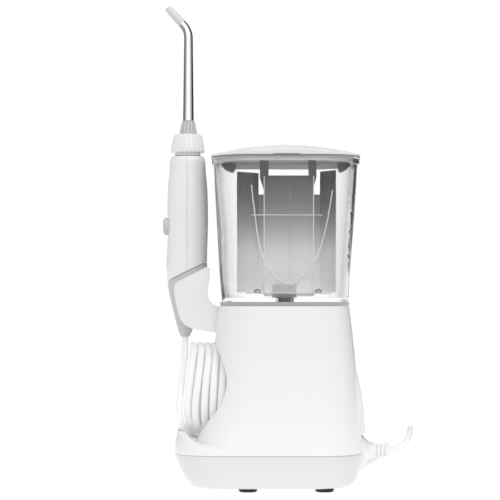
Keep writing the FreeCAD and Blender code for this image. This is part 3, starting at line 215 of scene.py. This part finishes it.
M = {
    "white": material("glossy_white_plastic", (0.835, 0.84, 0.845), 0.22, bump=0.03, coat=0.3, spread=0.008),
    # painted shade: the bottom cover's white is a darker copy of the body's white, for its downward-facing sides
    "pan": material("glossy_white_base_plastic", (0.705, 0.71, 0.715), 0.26, bump=0.03, coat=0.2, spread=0.008),
    # painted light: the lid's skirt, below about 252 mm, is made paler to lift it out of the shade it sits in
    "lid": with_painted_height_shade(material("pale_gray_plastic", (0.66, 0.665, 0.675), 0.26, bump=0.03, coat=0.25, spread=0.012),
                         0.2480, 0.2620, [(0.0, 0.96), (0.3, 0.96), (0.36, 0.78), (0.6, 0.80), (1.0, 0.82)]),
    "ring": material("tank_ring_plastic", (0.40, 0.405, 0.41), 0.3, bump=0.03, coat=0.2, spread=0.012),
    "gray": material("satin_gray_plastic", (0.56, 0.565, 0.575), 0.36, bump=0.08, scale=1600, spread=0.02),
    "dark": material("dark_gray_plastic", (0.14, 0.14, 0.145), 0.34, bump=0.06),
    # painted shade: the clear tank's colour turns gray where its wall is seen edge-on
    "clear": with_painted_edge_shade(material("clear_moulded_plastic", (0.975, 0.985, 0.985), 0.0, bump=0.0, transmission=1.0, ior=1.34, rough_spread=0.0,
                                spread=0.004), (0.99, 0.995, 0.995), (0.30, 0.305, 0.31), 0.25),
    # painted shade and light: the tip case darkens towards its top under the lid, and grows paler and more see-through
    # towards its bottom in place of light from behind
    "smoke": with_painted_height_shade(material("translucent_gray_plastic", (0.62, 0.63, 0.65), 0.2, bump=0.02, coat=0.3, ior=1.45, spread=0.03),
                           0.147, 0.241, [(0.0, 0.97), (0.36, 0.9), (0.6, 0.46), (0.78, 0.24), (1.0, 0.10)],
                           [(0.0, 0.4), (0.35, 0.58), (0.7, 0.92), (1.0, 0.97)]),
    # painted highlight: the ridge lines glow white through emission
    "ridge": with_painted_glow(material("painted_glow_ridge_plastic", (0.93, 0.935, 0.94), 0.15, bump=0.0, coat=0.5, spread=0.004), 0.12),
    # painted reflection: the chrome's colour is bright down the tube's middle and dark at its flanks
    "chrome": with_painted_reflection_band(material("chrome_plate", (0.80, 0.805, 0.81), 0.07, metal=1.0, bump=0.0, scale=60, spread=0.01,
                                       rough_spread=0.03), [(0.0, 1.0), (0.03, 0.97), (0.09, 0.74), (0.18, 0.5), (0.29, 0.2),
                                                            (0.5, 0.2), (0.75, 0.4), (1.0, 0.6)]),
    "nozzle": material("milky_nozzle_plastic", (0.70, 0.705, 0.71), 0.4, bump=0.0, spread=0.01),
    "cone": material("ribbed_gray_plastic", (0.50, 0.505, 0.515), 0.3, bump=0.05, coat=0.25, scale=1600, spread=0.02),
    "cone_light": material("ribbed_pale_plastic", (0.66, 0.665, 0.675), 0.3, bump=0.04, coat=0.25, scale=1600, spread=0.02),
    "rubber": material("black_rubber", (0.012, 0.012, 0.013), 0.7, bump=0.35, scale=1400),
    "gray_rubber": material("gray_rubber", (0.10, 0.103, 0.107), 0.6, bump=0.3, scale=1400),
    "seam": material("seam_shadow", (0.16, 0.162, 0.165), 0.6, bump=0.0),
    "tab": material("gray_tab_plastic", (0.19, 0.192, 0.197), 0.34, bump=0.05),
    "seam_soft": material("soft_seam_shadow", (0.40, 0.40, 0.405), 0.6, bump=0.0),
    # painted glow: the hose gives off a little white light so the shade between its turns stays pale
    "hose": with_painted_glow(material("white_hose", (0.74, 0.74, 0.74), 0.34, bump=0.04, scale=1200, spread=0.01, subsurface=0.3), 0.17),
    "cord": material("white_cord", (0.86, 0.86, 0.86), 0.42, bump=0.08, scale=1500, spread=0.01, subsurface=0.15),
    "steel": material("machined_steel", (0.52, 0.53, 0.54), 0.3, metal=1.0, bump=0.1, scale=700, streak=(1, 1, 0.05)),
    "brass": material("brass", (0.62, 0.48, 0.22), 0.25, metal=1.0, bump=0.05, spread=0.03),
    "nylon": material("natural_nylon", (0.72, 0.7, 0.62), 0.48, bump=0.12, spread=0.03),
    "board": material("circuit_board", (0.02, 0.14, 0.06), 0.35, bump=0.2, scale=500, spread=0.25),
    "silicone": material("silicone_tube", (0.75, 0.77, 0.77), 0.3, bump=0.05, transmission=0.4, ior=1.41, spread=0.02),
}
SLOT_MATERIAL = {"white_gloss": "white", "light_gray": "lid", "mid_gray": "gray", "dark_gray": "dark", "clear": "clear",
                 "smoke": "smoke", "chrome": "chrome", "nozzle_white": "nozzle", "black_rubber": "rubber",
                 "gray_rubber": "gray_rubber", "white_hose": "hose", "white_cord": "cord", "steel": "steel", "brass": "brass",
                 "pale_nylon": "nylon", "board_green": "board", "tube_clear": "silicone"}
for entry in frame["record"]["subparts"]:
    obj = NODES[entry["node"]]
    obj.data.materials.clear()
    obj.data.materials.append(M[SLOT_MATERIAL[entry["material_slot"]]])
for name, key in (("tip_cone", "cone"), ("tank_base_ring", "ring"), ("bottom_cover", "pan"), ("case_hangers", "tab")):
    NODES[name].data.materials.clear()
    NODES[name].data.materials.append(M[key])


def finish_piece(obj, body, key):
    obj.data.materials.clear()
    obj.data.materials.append(M[key])
    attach(obj, body)
    return obj


# ------------------------------------------------------------------ cords
def nurbs(name, points, radius):
    """Smooth curve with the route's points as its control points."""
    data = bpy.data.curves.new(name, "CURVE")
    data.dimensions = "3D"
    spline = data.splines.new("NURBS")
    spline.points.add(len(points) - 1)
    for p, q in zip(spline.points, points):
        p.co = (q[0], q[1], q[2], 1)
    spline.order_u = 3
    spline.use_endpoint_u = True
    spline.resolution_u = 8
    data.bevel_depth = radius
    data.bevel_resolution = 6
    data.use_fill_caps = True
    obj = bpy.data.objects.new(name, data)
    bpy.context.scene.collection.objects.link(obj)
    return obj


def centreline(points):
    """Points read from the route's own NURBS line."""
    obj = nurbs("route_line", points, 0.0)
    obj.data.bevel_depth = 0.0
    obj.data.use_fill_caps = False
    bpy.context.view_layer.update()
    mesh = bpy.data.meshes.new_from_object(obj)
    line = [v.co.copy() for v in mesh.vertices]
    bpy.data.meshes.remove(mesh)
    bpy.data.objects.remove(obj)
    return line


HOSE_D = 0.0053
CORD_D = 0.0047


def run_length(line):
    return sum((b - a).length for a, b in zip(line, line[1:]))


def tube(name, line, radius, sides=20):
    """Round tube along a line, as a mesh, with closed ends."""
    bm = bmesh.new()
    rings = []
    up = Vector((1, 0, 0))
    for i, p in enumerate(line):
        d = (line[min(i + 1, len(line) - 1)] - line[max(i - 1, 0)]).normalized()
        up = (up - d * up.dot(d)).normalized()
        side = d.cross(up)
        rings.append([bm.verts.new(p + (up * math.cos(t) + side * math.sin(t)) * radius)
                      for t in (2 * math.pi * k / sides for k in range(sides))])
    for a, b in zip(rings, rings[1:]):
        for k in range(sides):
            bm.faces.new((a[k], a[(k + 1) % sides], b[(k + 1) % sides], b[k]))
    bm.faces.new(list(reversed(rings[0])))
    bm.faces.new(rings[-1])
    bmesh.ops.recalc_face_normals(bm, faces=bm.faces)
    for f in bm.faces:
        f.smooth = len(f.verts) == 4
    data = bpy.data.meshes.new(name)
    bm.to_mesh(data)
    bm.free()
    obj = bpy.data.objects.new(name, data)
    bpy.context.scene.collection.objects.link(obj)
    return obj


# the stretch from the hand piece's boot down in front of the stored turns
strand_pts = [P(-77.3, 0, 121.0), P(-77.3, 0, 104.0), P(-78.2, -13.5, 91.5), P(-79.4, -25.5, 78.5), P(-80.6, -32.4, 64.5),
              P(-79.6, -28.6, 50.9), P(-77.0, -16.2, 42.5), P(-75.4, -1.0, 40.2)]
strand_line = centreline(strand_pts)
strand = tube("hose_to_hand_piece", strand_line, HOSE_D / 2)
strand.data.materials.append(M["hose"])
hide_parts("hose")
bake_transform(strand)

# the stored turns round the hub in the side pocket: angle from the top towards the back, place along the axis, radius
turn_table = [(34, -47.5, 35.4), (60, -47.4, 36.4), (90, -47.3, 36.6), (135, -47.4, 36.4), (180, -48.0, 35.6), (212, -49.2, 34.9),
              (242, -49.6, 34.5), (287, -47.5, 34.5), (327, -46.9, 34.4), (360, -48.6, 33.4), (397, -51.3, 32.6),
              (450, -52.0, 32.6), (540, -53.8, 33.8), (602, -55.5, 34.5), (647, -54.2, 34.8), (687, -52.4, 34.6),
              (757, -56.7, 34.4), (810, -57.4, 34.6), (900, -59.4, 34.2), (962, -62.2, 34.6), (1007, -60.0, 35.0),
              (1047, -57.8, 34.2), (1117, -62.1, 34.4), (1170, -62.8, 34.3), (1260, -65.0, 34.5), (1322, -69.2, 34.9),
              (1367, -66.0, 34.9), (1407, -63.4, 34.8), (1477, -67.5, 34.2), (1530, -68.3, 34.4), (1620, -70.3, 34.3),
              (1682, -75.2, 33.9), (1727, -72.4, 34.6), (1767, -69.3, 35.0), (1837, -72.9, 34.4), (1890, -74.0, 34.3),
              (1950, -75.3, 34.8), (1980, -75.6, 35.6)]


def at_angle(table, a):
    for lower, upper in zip(table, table[1:]):
        if a <= upper[0]:
            t = (a - lower[0]) / (upper[0] - lower[0])
            t = t * t * (3 - 2 * t) * 0.5 + t * 0.5
            return [p + (q - p) * t for p, q in zip(lower[1:], upper[1:])]
    return list(table[-1][1:])


store_pts = [P(-47.6, 9.7, 115.1), P(-47.6, 15.4, 109.6)]
steps = 66
for i in range(steps + 1):
    a = 34 + (1980 - 34) * i / steps
    x, r = at_angle(turn_table, a)
    store_pts.append(P(x, r * math.sin(math.radians(a)), 76 + r * math.cos(math.radians(a))))
store = nurbs("hose_turns", store_pts, HOSE_D / 2)
finish_piece(store, "base", "hose")
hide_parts("hose_coil", "hose_start")
store_length = run_length(centreline(store_pts))

# the mains lead: out of its strain relief, down to the table, into a put-away coil and out to its plug
lead_pts = [P(75.3, 0, 28.1), P(85.2, 0.1, 28.3), P(93.2, 2.6, 33.0), P(97.6, 9.0, 40.0), P(98.6, 20.5, 44.6), P(99.9, 34, 38.1),
            P(97.3, 47, 29.3), P(89.9, 56.5, 23.3), P(78, 62.5, 18.5), P(66, 67.5, 10), P(55, 70.2, 4.4), P(43, 70.4, 2.6),
            P(31, 69.4, 2.45)]
turns = [(27.4, 2.4), (28.2, 2.4), (22.9, 2.4), (23.1, 7.2), (28.1, 7.2), (28.3, 12.0), (22.8, 12.0), (23.0, 16.8), (28.2, 16.8)]
per_turn = 15
for i in range(8 * per_turn + 1):
    t, k = i / per_turn, min(i // per_turn, 7)
    share = t - k
    blend = max(0.0, (share - 0.6) / 0.4)
    blend = blend * blend * (3 - 2 * blend)
    first, second = turns[k if k else 0], turns[k + 1]
    if k == 0:
        first = (27.4 + 0.8 * min(1, share * 3), 2.4)
        second = turns[2]
    else:
        first, second = turns[k + 1], turns[min(k + 2, 8)]
    r = first[0] + (second[0] - first[0]) * blend + 0.25 * math.sin(i * 1.7)
    z = first[1] + (second[1] - first[1]) * blend
    phi = math.radians(-90 - 360 * t)
    lead_pts.append(P(20 + r * math.cos(phi), 95.5 + r * math.sin(phi), z))
lead_pts += [P(11, 68.0, 15.0), P(2, 67.6, 12.5), P(-7, 68.2, 10.2), P(-16, 69, 8.6)]
lead = nurbs("mains_lead_cord", lead_pts, CORD_D / 2)
finish_piece(lead, "base", "cord")
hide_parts("mains_lead", "mains_lead_coil", "mains_lead_tail")
# strap that ties the put-away turns
out, along = Vector((math.cos(math.radians(160)), math.sin(math.radians(160)), 0)), Vector((-math.sin(math.radians(160)), math.cos(math.radians(160)), 0))
strap_v, strap_f = [], []
for half in (-3.6, 3.6):
    for r0, r1, z0, z1 in ((19.3, 31.9, 0.05, 20.4), (20.3, 30.9, 0.9, 19.4)):
        for r, z in ((r0, z0), (r1, z0), (r1, z1), (r0, z1)):
            strap_v.append(P(20, 95.5, z) + (out * r + along * half) / 1000)
for k in range(4):
    m = (k + 1) % 4
    strap_f += [[k, m, 4 + m, 4 + k], [8 + k, 12 + k, 12 + m, 8 + m], [k, 8 + k, 8 + m, m], [4 + k, 4 + m, 12 + m, 12 + k]]
strap_data = bpy.data.meshes.new("lead_strap")
strap_data.from_pydata([tuple(v) for v in strap_v], [], strap_f)
strap = bpy.data.objects.new("lead_strap", strap_data)
bpy.context.scene.collection.objects.link(strap)
finish_piece(strap, "base", "gray_rubber")
lead_length = run_length(centreline(lead_pts))
print("LENGTHS strand", run_length(strand_line), "store", store_length, "lead", lead_length)


# ------------------------------------------------------------------ moulded details
def solid(name, verts, faces, body, key, bevel=0.0, smooth=False):
    data = bpy.data.meshes.new(name)
    data.from_pydata([tuple(v) for v in verts], [], faces)
    bm = bmesh.new()
    bm.from_mesh(data)
    bmesh.ops.recalc_face_normals(bm, faces=bm.faces)
    if bevel:
        bmesh.ops.bevel(bm, geom=list(bm.edges), offset=bevel, segments=3, profile=0.6, affect="EDGES")
    for f in bm.faces:
        f.smooth = smooth
    bm.to_mesh(data)
    bm.free()
    obj = bpy.data.objects.new(name, data)
    bpy.context.scene.collection.objects.link(obj)
    return finish_piece(obj, body, key)


def prism(name, outline, y0, y1, body, key, bevel=0.0):
    """Outline in X and Z, in millimetres, carried from y0 to y1."""
    n = len(outline)
    verts = [P(x, y0, z) for x, z in outline] + [P(x, y1, z) for x, z in outline]
    faces = [list(range(n)), list(range(2 * n - 1, n - 1, -1))]
    faces += [[k, (k + 1) % n, n + (k + 1) % n, n + k] for k in range(n)]
    return solid(name, verts, faces, body, key, bevel)


def revolve(name, profile, centre, body, key, sides=40):
    """Profile of radius and height, in millimetres, turned about a vertical line."""
    verts, faces = [], []
    for r, z in profile:
        for k in range(sides):
            t = 2 * math.pi * k / sides
            verts.append(P(centre[0] + r * math.cos(t), centre[1] + r * math.sin(t), z))
    for i in range(len(profile) - 1):
        for k in range(sides):
            a, b = i * sides + k, i * sides + (k + 1) % sides
            faces.append([a, b, b + sides, a + sides])
    faces.append(list(range(sides)))
    faces.append(list(range(len(verts) - 1, len(verts) - sides - 1, -1)))
    return solid(name, verts, faces, body, key, smooth=True)


def outline_at(node, level):
    """The outer outline of a CAD node at one height, as an ordered loop of X and Y in metres."""
    bm = bmesh.new()
    bm.from_mesh(NODES[node].data)
    cut = bmesh.ops.bisect_plane(bm, geom=bm.verts[:] + bm.edges[:] + bm.faces[:], plane_co=(0, 0, level), plane_no=(0, 0, 1))
    points = sorted({(round(v.co.x, 7), round(v.co.y, 7)) for v in cut["geom_cut"] if isinstance(v, bmesh.types.BMVert)})
    bm.free()

    def chain(sequence):
        line = []
        for q in sequence:
            while len(line) > 1 and ((line[-1][0] - line[-2][0]) * (q[1] - line[-2][1])
                                     - (line[-1][1] - line[-2][1]) * (q[0] - line[-2][0])) <= 0:
                line.pop()
            line.append(q)
        return line[:-1]

    return chain(points) + chain(points[::-1])


def seam_band(name, node, level, height, proud, body, key):
    """Thin line of shadow where two mouldings meet: a band just proud of the outline."""
    loop = outline_at(node, level / 1000)
    middle = P(0, 0, 0)
    verts, n = [], len(loop)
    for grow_by, dz in ((proud, -height / 2), (proud, height / 2), (-0.4, height / 2), (-0.4, -height / 2)):
        for x, y in loop:
            d = Vector((x - middle.x, y - middle.y, 0))
            q = Vector((x, y, level / 1000 + dz / 1000)) + d.normalized() * (grow_by / 1000)
            verts.append(q)
    faces = []
    for ring in range(4):
        for k in range(n):
            a, b = ring * n + k, ring * n + (k + 1) % n
            c, d = ((ring + 1) % 4) * n + (k + 1) % n, ((ring + 1) % 4) * n + k
            faces.append([a, b, c, d])
    return solid(name, verts, faces, body, key, smooth=False)


seam_band("lid_seam_line", "lid", 252.95, 0.6, 0.1, "lid_body", "seam")
seam_band("housing_seam_line", "bottom_cover", 28.1, 0.35, 0.03, "base", "seam_soft")

# tabs under the lid that grip the tank's mouth
tab_left = prism("lid_tab_left", [(-49.4, 250.4), (-38.4, 250.4), (-38.2, 246.4), (-39.8, 243.2), (-42.0, 243.2), (-46.6, 245.2), (-49.0, 248.0)],
                 -6, 6, "lid_body", "tab", 0.0005)
tab_right = prism("lid_tab_right", [(41.2, 250.4), (51.8, 250.4), (51.2, 248.0), (48.2, 245.2), (44.4, 243.2), (42.6, 243.2), (41.2, 246.4)],
                  -6, 6, "lid_body", "tab", 0.0005)
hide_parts("lid_clips")
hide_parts("lid_clips")

# U-shaped rim of the tip case's scoop, its cross rail, foot plate and the level marks
# the rim, corner lines, rail and foot plate glow white through their material: painted highlight lines on the case
rim_pts = [P(-25.9, -4.8, 233.3), P(-24.9, -4.7, 222), P(-22.7, -4.6, 204.3), P(-20.4, -4.6, 188.7), P(-15.9, -4.4, 173.1),
           P(-8.1, -4.2, 160.8), P(0.9, -4.2, 155.6), P(9.8, -4.2, 157.0), P(20.9, -4.4, 170.8), P(27.6, -4.8, 184.2),
           P(33.2, -7.6, 206.6), P(36.5, -11.6, 228.9)]
rim = nurbs("case_scoop_rim", rim_pts, 0.00055)
finish_piece(rim, "lid_body", "ridge")
for word, x in (("left", -16.2), ("right", 22.1)):
    edge = nurbs("case_corner_" + word, [P(x, -3.1, 147.5), P(x, -3.1, 194), P(x, -3.1, 240.0)], 0.0004)
    finish_piece(edge, "lid_body", "ridge")
flutes_v, flutes_f = [], []
for k in range(14):
    t = 2 * math.pi * (k + 0.5) / 14
    out, along = Vector((math.cos(t), math.sin(t), 0)), Vector((-math.sin(t), math.cos(t), 0))
    n = len(flutes_v)
    for r, z in ((6.95, 273.2), (5.15, 282.6)):
        for radial, half in ((-1.0, 0.55), (0.0, 0.4)):
            for sign in (-1, 1):
                flutes_v.append(P(-75.0, 0, z) + (out * (r + radial) + along * (half * sign)) / 1000)
    flutes_f += [[n + 0, n + 1, n + 3, n + 2], [n + 4, n + 6, n + 7, n + 5], [n + 0, n + 2, n + 6, n + 4],
                 [n + 1, n + 5, n + 7, n + 3], [n + 2, n + 3, n + 7, n + 6], [n + 0, n + 4, n + 5, n + 1]]
solid("cone_flutes", flutes_v, flutes_f, "tip", "cone_light")
rail = nurbs("case_cross_rail", [P(-26.2, -4.6, 209.8), P(0, -4.4, 209.9), P(29.0, -4.6, 209.8)], 0.00035)
finish_piece(rail, "lid_body", "ridge")
plate = prism("case_foot_plate", [(-30.5, 148.7), (35.8, 148.7), (35.8, 149.7), (-30.5, 149.7)], -10, 8, "lid_body", "ridge", 0.0003)
for word, x in (("left", -21.4), ("right", 25.4)):
    revolve("case_pin_" + word, [(2.7, 149.6), (2.7, 150.6), (2.3, 151.6), (1.4, 152.3), (0.4, 152.6)], (x, -6.5), "lid_body", "steel")
marks = bmesh.new()


def mark(x0, x1, z0, z1):
    made = bmesh.ops.create_cube(marks, size=1.0)["verts"]
    low, high = P(x0, -3.12, z0), P(x1, -2.9, z1)
    for v in made:
        v.co = Vector([low[i] + (v.co[i] + 0.5) * (high[i] - low[i]) for i in range(3)])


mark(3.7, 3.95, 152, 233)
for i, z in enumerate(range(160, 232, 8)):
    mark(3.9, 6.6 if i % 2 else 8.2, z - 0.12, z + 0.12)
mark_data = bpy.data.meshes.new("level_marks")
marks.to_mesh(mark_data)
marks.free()
mark_obj = bpy.data.objects.new("level_marks", mark_data)
bpy.context.scene.collection.objects.link(mark_obj)
finish_piece(mark_obj, "lid_body", "ring")

# ------------------------------------------------------------------ springs and screw plug
def spring(node, body):
    """The spring between a moving piece and its seat: a steel copy of its CAD mesh, carried by the given body."""
    source = NODES[node]
    data = source.data.copy()
    data.transform(source.matrix_world)
    obj = bpy.data.objects.new(node + "_wire", data)
    bpy.context.scene.collection.objects.link(obj)
    finish_piece(obj, body, "steel")
    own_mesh(obj)
    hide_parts(node)


spring("pause_spring", "handle")
spring("valve_spring", "reservoir")
spring("power_spring", "base")
spring("mode_spring", "base")


def screw_plug(name, x, y, z0, z1, radius, inside, body, key):
    """Plug in a screw hole, its outside shaped like the moulding around it."""
    source = NODES[inside]
    hull = bmesh.new()
    for v in source.data.vertices:
        hull.verts.new(source.matrix_world @ v.co)
    loose = bmesh.ops.convex_hull(hull, input=hull.verts)["geom_interior"]
    bmesh.ops.delete(hull, geom=[g for g in loose if isinstance(g, bmesh.types.BMVert)], context="VERTS")
    data = bpy.data.meshes.new(name + "_limit")
    hull.to_mesh(data)
    hull.free()
    limit = bpy.data.objects.new(name + "_limit", data)
    bpy.context.scene.collection.objects.link(limit)
    sides = 48
    verts = [P(x + radius * math.cos(2 * math.pi * i / sides), y + radius * math.sin(2 * math.pi * i / sides), z)
             for z in (z0, z1) for i in range(sides)]
    faces = [tuple(range(sides - 1, -1, -1)), tuple(range(sides, 2 * sides))]
    faces += [(i, (i + 1) % sides, sides + (i + 1) % sides, sides + i) for i in range(sides)]
    data = bpy.data.meshes.new(name)
    data.from_pydata([tuple(v) for v in verts], [], faces)
    obj = bpy.data.objects.new(name, data)
    bpy.context.scene.collection.objects.link(obj)
    cutter = obj.modifiers.new("limit", "BOOLEAN")
    cutter.operation = "INTERSECT"
    cutter.object = limit
    cutter.solver = "EXACT"
    shaped = bpy.data.meshes.new_from_object(obj.evaluated_get(bpy.context.evaluated_depsgraph_get()))
    obj.modifiers.clear()
    obj.data = shaped
    bpy.data.objects.remove(limit)
    return finish_piece(obj, body, key)


screw_plug("foot_screw_plug_front", 42.0, -38.0, 3.6, 11.5, 3.28, "bottom_cover", "base", "pan")


# ------------------------------------------------------------------ floor, world and lights
floor_mesh = bpy.data.meshes.new("floor")
floor_mesh.from_pydata([(-40, -30, 0), (40, -30, 0), (40, 60, 0), (-40, 60, 0)], [], [(0, 1, 2, 3)])
floor = bpy.data.objects.new("floor", floor_mesh)
bpy.context.scene.collection.objects.link(floor)
floor_mat = material("pale_floor", (0.45, 0.45, 0.45), 0.9, bump=0.0, spread=0.002)
floor_mat.node_tree.nodes["Principled BSDF"].inputs["Emission Color"].default_value = (1, 1, 1, 1)
floor_mat.node_tree.nodes["Principled BSDF"].inputs["Emission Strength"].default_value = 0.7
# the sheet falls off into shade towards the front, out of the picture
fnt = floor_mat.node_tree
fsplit = fnt.nodes.new("ShaderNodeSeparateXYZ")
fnt.links.new(fnt.nodes["Texture Coordinate"].outputs["Object"], fsplit.inputs[0])
fade = fnt.nodes.new("ShaderNodeMapRange")
fade.interpolation_type = "SMOOTHSTEP"
fade.inputs["From Min"].default_value = -0.3
fade.inputs["From Max"].default_value = -0.1
fade.inputs["To Min"].default_value = 0.12
fade.inputs["To Max"].default_value = 0.74
fnt.links.new(fsplit.outputs["Y"], fade.inputs["Value"])
fnt.links.new(fade.outputs["Result"], fnt.nodes["Principled BSDF"].inputs["Emission Strength"])
floor_mesh.materials.append(floor_mat)

world = bpy.data.worlds.new("studio")
bpy.context.scene.world = world
world.use_nodes = True
wt = world.node_tree
sky = wt.nodes["Background"]
direction = wt.nodes.new("ShaderNodeTexCoord")
split = wt.nodes.new("ShaderNodeSeparateXYZ")
wt.links.new(direction.outputs["Generated"], split.inputs[0])
# a tent open to the front: bright ahead and overhead, dark cards at the rear sides, a white sheet straight behind
back = wt.nodes.new("ShaderNodeMath")
back.operation = "MULTIPLY_ADD"
wt.links.new(split.outputs["Y"], back.inputs[0])
back.inputs[1].default_value = 0.5
back.inputs[2].default_value = 0.5
shades = []
for levels in ([(0.0, 1.15), (0.05, 1.02), (0.13, 0.8), (0.3, 0.77), (0.44, 0.62), (0.53, 0.38), (0.6, 0.12), (0.93, 0.05), (0.966, 0.05), (0.977, 1.0)],
               [(0.0, 1.15), (0.05, 1.02), (0.13, 0.8), (0.3, 0.79), (0.44, 0.72), (0.53, 0.64), (0.6, 0.58), (0.93, 0.52), (0.966, 0.52), (0.977, 1.0)]):
    shade = wt.nodes.new("ShaderNodeValToRGB")
    while len(shade.color_ramp.elements) < len(levels):
        shade.color_ramp.elements.new(0.5)
    for element, (place, value) in zip(shade.color_ramp.elements, levels):
        element.position = place
        element.color = (value, value, value, 1)
    wt.links.new(back.outputs[0], shade.inputs[0])
    shades.append(shade)
side = wt.nodes.new("ShaderNodeMapRange")
side.interpolation_type = "SMOOTHSTEP"
side.inputs["From Min"].default_value = -0.25
side.inputs["From Max"].default_value = 0.25
wt.links.new(split.outputs["X"], side.inputs["Value"])
both = wt.nodes.new("ShaderNodeMix")
both.data_type = "RGBA"
wt.links.new(side.outputs["Result"], both.inputs[0])
wt.links.new(shades[1].outputs["Color"], both.inputs[6])
wt.links.new(shades[0].outputs["Color"], both.inputs[7])
overhead = wt.nodes.new("ShaderNodeMapRange")
overhead.interpolation_type = "SMOOTHSTEP"
overhead.inputs["From Min"].default_value = 0.35
overhead.inputs["From Max"].default_value = 0.8
wt.links.new(split.outputs["Z"], overhead.inputs["Value"])
tent = wt.nodes.new("ShaderNodeMix")
tent.data_type = "RGBA"
tent.inputs[7].default_value = (0.7, 0.7, 0.7, 1)
wt.links.new(overhead.outputs["Result"], tent.inputs[0])
wt.links.new(both.outputs[2], tent.inputs[6])
wt.links.new(tent.outputs[2], sky.inputs["Color"])
sky.inputs["Strength"].default_value = 1.03


def area_light(name, place, target, size, power, colour=(1, 1, 1)):
    data = bpy.data.lights.new(name, "AREA")
    data.shape = "RECTANGLE"
    data.size, data.size_y = size
    data.energy = power
    data.color = colour
    obj = bpy.data.objects.new(name, data)
    bpy.context.scene.collection.objects.link(obj)
    obj.location = place
    obj.rotation_euler = (Vector(target) - Vector(place)).to_track_quat("-Z", "Y").to_euler()
    return obj


centre = P(-15, 0, 150)
area_light("front", (0.4, -1.6, 1.45), centre, (1.5, 1.3), 10.5)
area_light("top", (0.0, -0.35, 1.7), centre, (1.0, 1.0), 4.0)
bpy.context.scene.view_settings.view_transform = "Standard"
